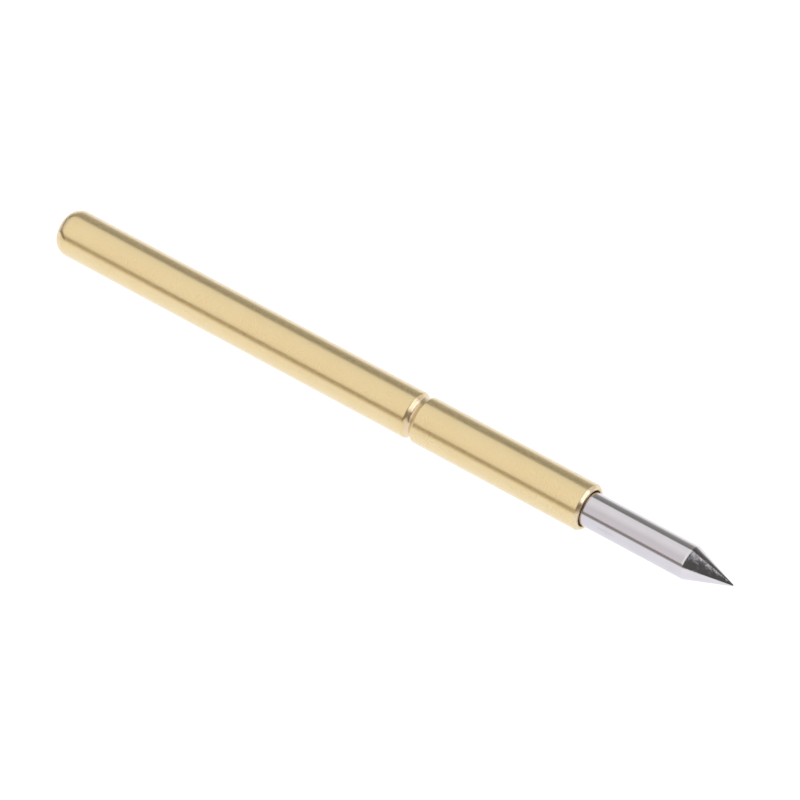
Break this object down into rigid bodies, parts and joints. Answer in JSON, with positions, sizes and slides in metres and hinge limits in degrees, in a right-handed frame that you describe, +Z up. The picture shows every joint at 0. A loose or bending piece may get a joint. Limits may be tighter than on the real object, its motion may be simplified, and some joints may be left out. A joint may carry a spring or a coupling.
{
  "type": "pogo pin",
  "caption": "Spring-loaded contact pin: a gold-plated crimped barrel with a pointed sliding plunger and a coil spring inside.",
  "frame": {"origin": "on the pin's axis, in the plane of the barrel's mouth", "axes": "+X along the axis from the barrel's closed end to the plunger's tip; +Z up with the pin lying down; the pin is round, so Y and Z are interchangeable"},
  "size_m": [0.0165, 0.001, 0.001],
  "materials": {
    "gold_plating": "drawn tube, pale gold plating, satin bright",
    "nickel_plating": "turned and nickel plated, bright, the tip ground",
    "spring_wire": "drawn spring wire"
  },
  "bodies": {
    "barrel": {"barrel": "gold_plating", "spring": "spring_wire"},
    "plunger": {"plunger": "nickel_plating"}
  },
  "joints": [
    {"name": "plunger_travel", "type": "slide", "parent": "barrel", "child": "plunger", "axis": [-1, 0, 0], "range_m": [0, 0.00265], "stiffness_N_per_m": 554, "deforming": ["spring"]}
  ]
}
